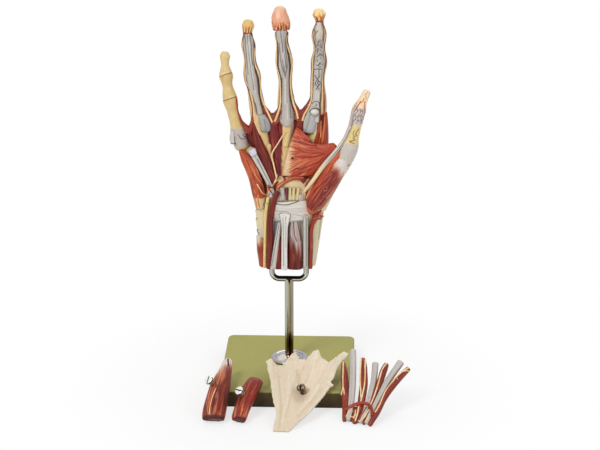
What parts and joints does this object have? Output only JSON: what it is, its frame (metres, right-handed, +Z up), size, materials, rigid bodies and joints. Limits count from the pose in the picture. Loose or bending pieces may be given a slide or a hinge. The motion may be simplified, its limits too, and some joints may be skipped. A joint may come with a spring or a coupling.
{
  "type": "hand muscle model",
  "caption": "Anatomical muscle model of a right hand on a fork stand, with lift-off layers of the dissection laid out against its square base board.",
  "frame": {"origin": "middle of the bounding box's footprint, on the surface that the board stands on", "axes": "+Z up along the stem towards the fingertips, the palm faces -Y, +X towards the thumb's side"},
  "size_m": [0.1814, 0.179, 0.3464],
  "materials": {
    "board": "olive green paint, satin",
    "bright_metal": "bright plated",
    "plain_steel": "turned, slotted heads",
    "bone": "cast and hand painted, soft sheen",
    "fascia": "cast and hand painted, soft sheen",
    "skin": "cast and hand painted, soft sheen",
    "tendon": "hand painted, satin",
    "muscle": "grooved fibres, hand painted, satin",
    "deep_muscle": "grooved fibres, hand painted, satin",
    "artery": "painted, gloss",
    "nerve": "painted, satin"
  },
  "bodies": {
    "stand": {"base_board": "board", "base_rosette": "bright_metal", "stem_rod": "bright_metal", "support_fork": "bright_metal", "stem_nut": "plain_steel", "stem_washer": "plain_steel"},
    "hand": {"forearm_and_palm": "fascia", "little_finger_bones": "bone", "ring_finger": "fascia", "middle_finger": "fascia", "index_finger": "fascia", "thumb": "bone", "fingertip_skin": "skin", "flexor_retinaculum": "tendon", "carpal_tunnel_tendons": "tendon", "palmaris_longus_tendon": "tendon", "radial_flexor_tendon": "tendon", "superficial_flexor_tendon": "tendon", "ulnar_flexor_belly": "deep_muscle", "radial_flexor_belly": "muscle", "ulnar_wrist_flexor": "muscle", "ulnar_artery": "artery", "radial_artery": "artery", "ulnar_nerve": "nerve", "deep_palmar_arch": "artery", "deep_ulnar_nerve": "nerve", "long_thumb_tendon": "tendon", "ring_flexor_tendon": "tendon", "middle_flexor_tendon": "tendon", "index_tendon_sheath": "tendon", "cut_hypothenar_tendon": "tendon", "little_finger_opponens": "deep_muscle", "adductor_pollicis": "muscle", "thenar_muscle": "muscle", "hypothenar_muscle": "muscle", "first_dorsal_interosseous": "muscle", "interosseous_middle_index": "deep_muscle", "interosseous_ring_middle": "deep_muscle", "interosseous_little_ring": "deep_muscle", "extensor_retinaculum": "tendon", "extensor_tendons": "tendon"},
    "aponeurosis": {"palmar_aponeurosis": "fascia"},
    "aponeurosis_screw": {"palmar_aponeurosis_screw": "plain_steel"},
    "abductor": {"abductor_pollicis_brevis": "muscle"},
    "abductor_screw": {"abductor_pollicis_brevis_screw": "plain_steel"},
    "flexor": {"flexor_pollicis_brevis": "muscle"},
    "flexor_screw": {"flexor_pollicis_brevis_screw": "plain_steel"},
    "tendon_layer": {"layer_vessel_bundles": "deep_muscle", "layer_tendon_ring": "tendon", "layer_tendon_middle": "tendon", "layer_tendon_index": "tendon", "superficial_palmar_arch": "artery"}
  },
  "joints": [
    {"name": "hand_lift", "type": "slide", "parent": "stand", "child": "hand", "axis": [0, 0, 1], "range_m": [0, 0.06]},
    {"name": "aponeurosis_lift", "type": "slide", "parent": "stand", "child": "aponeurosis", "axis": [0, 0, 1], "range_m": [0, 0.07]},
    {"name": "aponeurosis_screw_turn", "type": "hinge", "parent": "aponeurosis", "child": "aponeurosis_screw", "pos_m": [-0.00343, -0.04462, 0.01703], "axis": [-0.2955, -0.3278, 0.8974], "continuous": true},
    {"name": "abductor_lift", "type": "slide", "parent": "stand", "child": "abductor", "axis": [0, 0, 1], "range_m": [0, 0.07]},
    {"name": "abductor_screw_turn", "type": "hinge", "parent": "abductor", "child": "abductor_screw", "pos_m": [-0.08316, -0.04418, 0.02443], "axis": [-0.5227, -0.4659, 0.7139], "continuous": true},
    {"name": "flexor_lift", "type": "slide", "parent": "stand", "child": "flexor", "axis": [0, 0, 1], "range_m": [0, 0.07]},
    {"name": "flexor_screw_turn", "type": "hinge", "parent": "flexor", "child": "flexor_screw", "pos_m": [-0.05591, -0.05445, 0.0191], "axis": [-0.4794, -0.4667, 0.7432], "continuous": true},
    {"name": "tendon_layer_lift", "type": "slide", "parent": "stand", "child": "tendon_layer", "axis": [0, 0, 1], "range_m": [0, 0.07]}
  ]
}
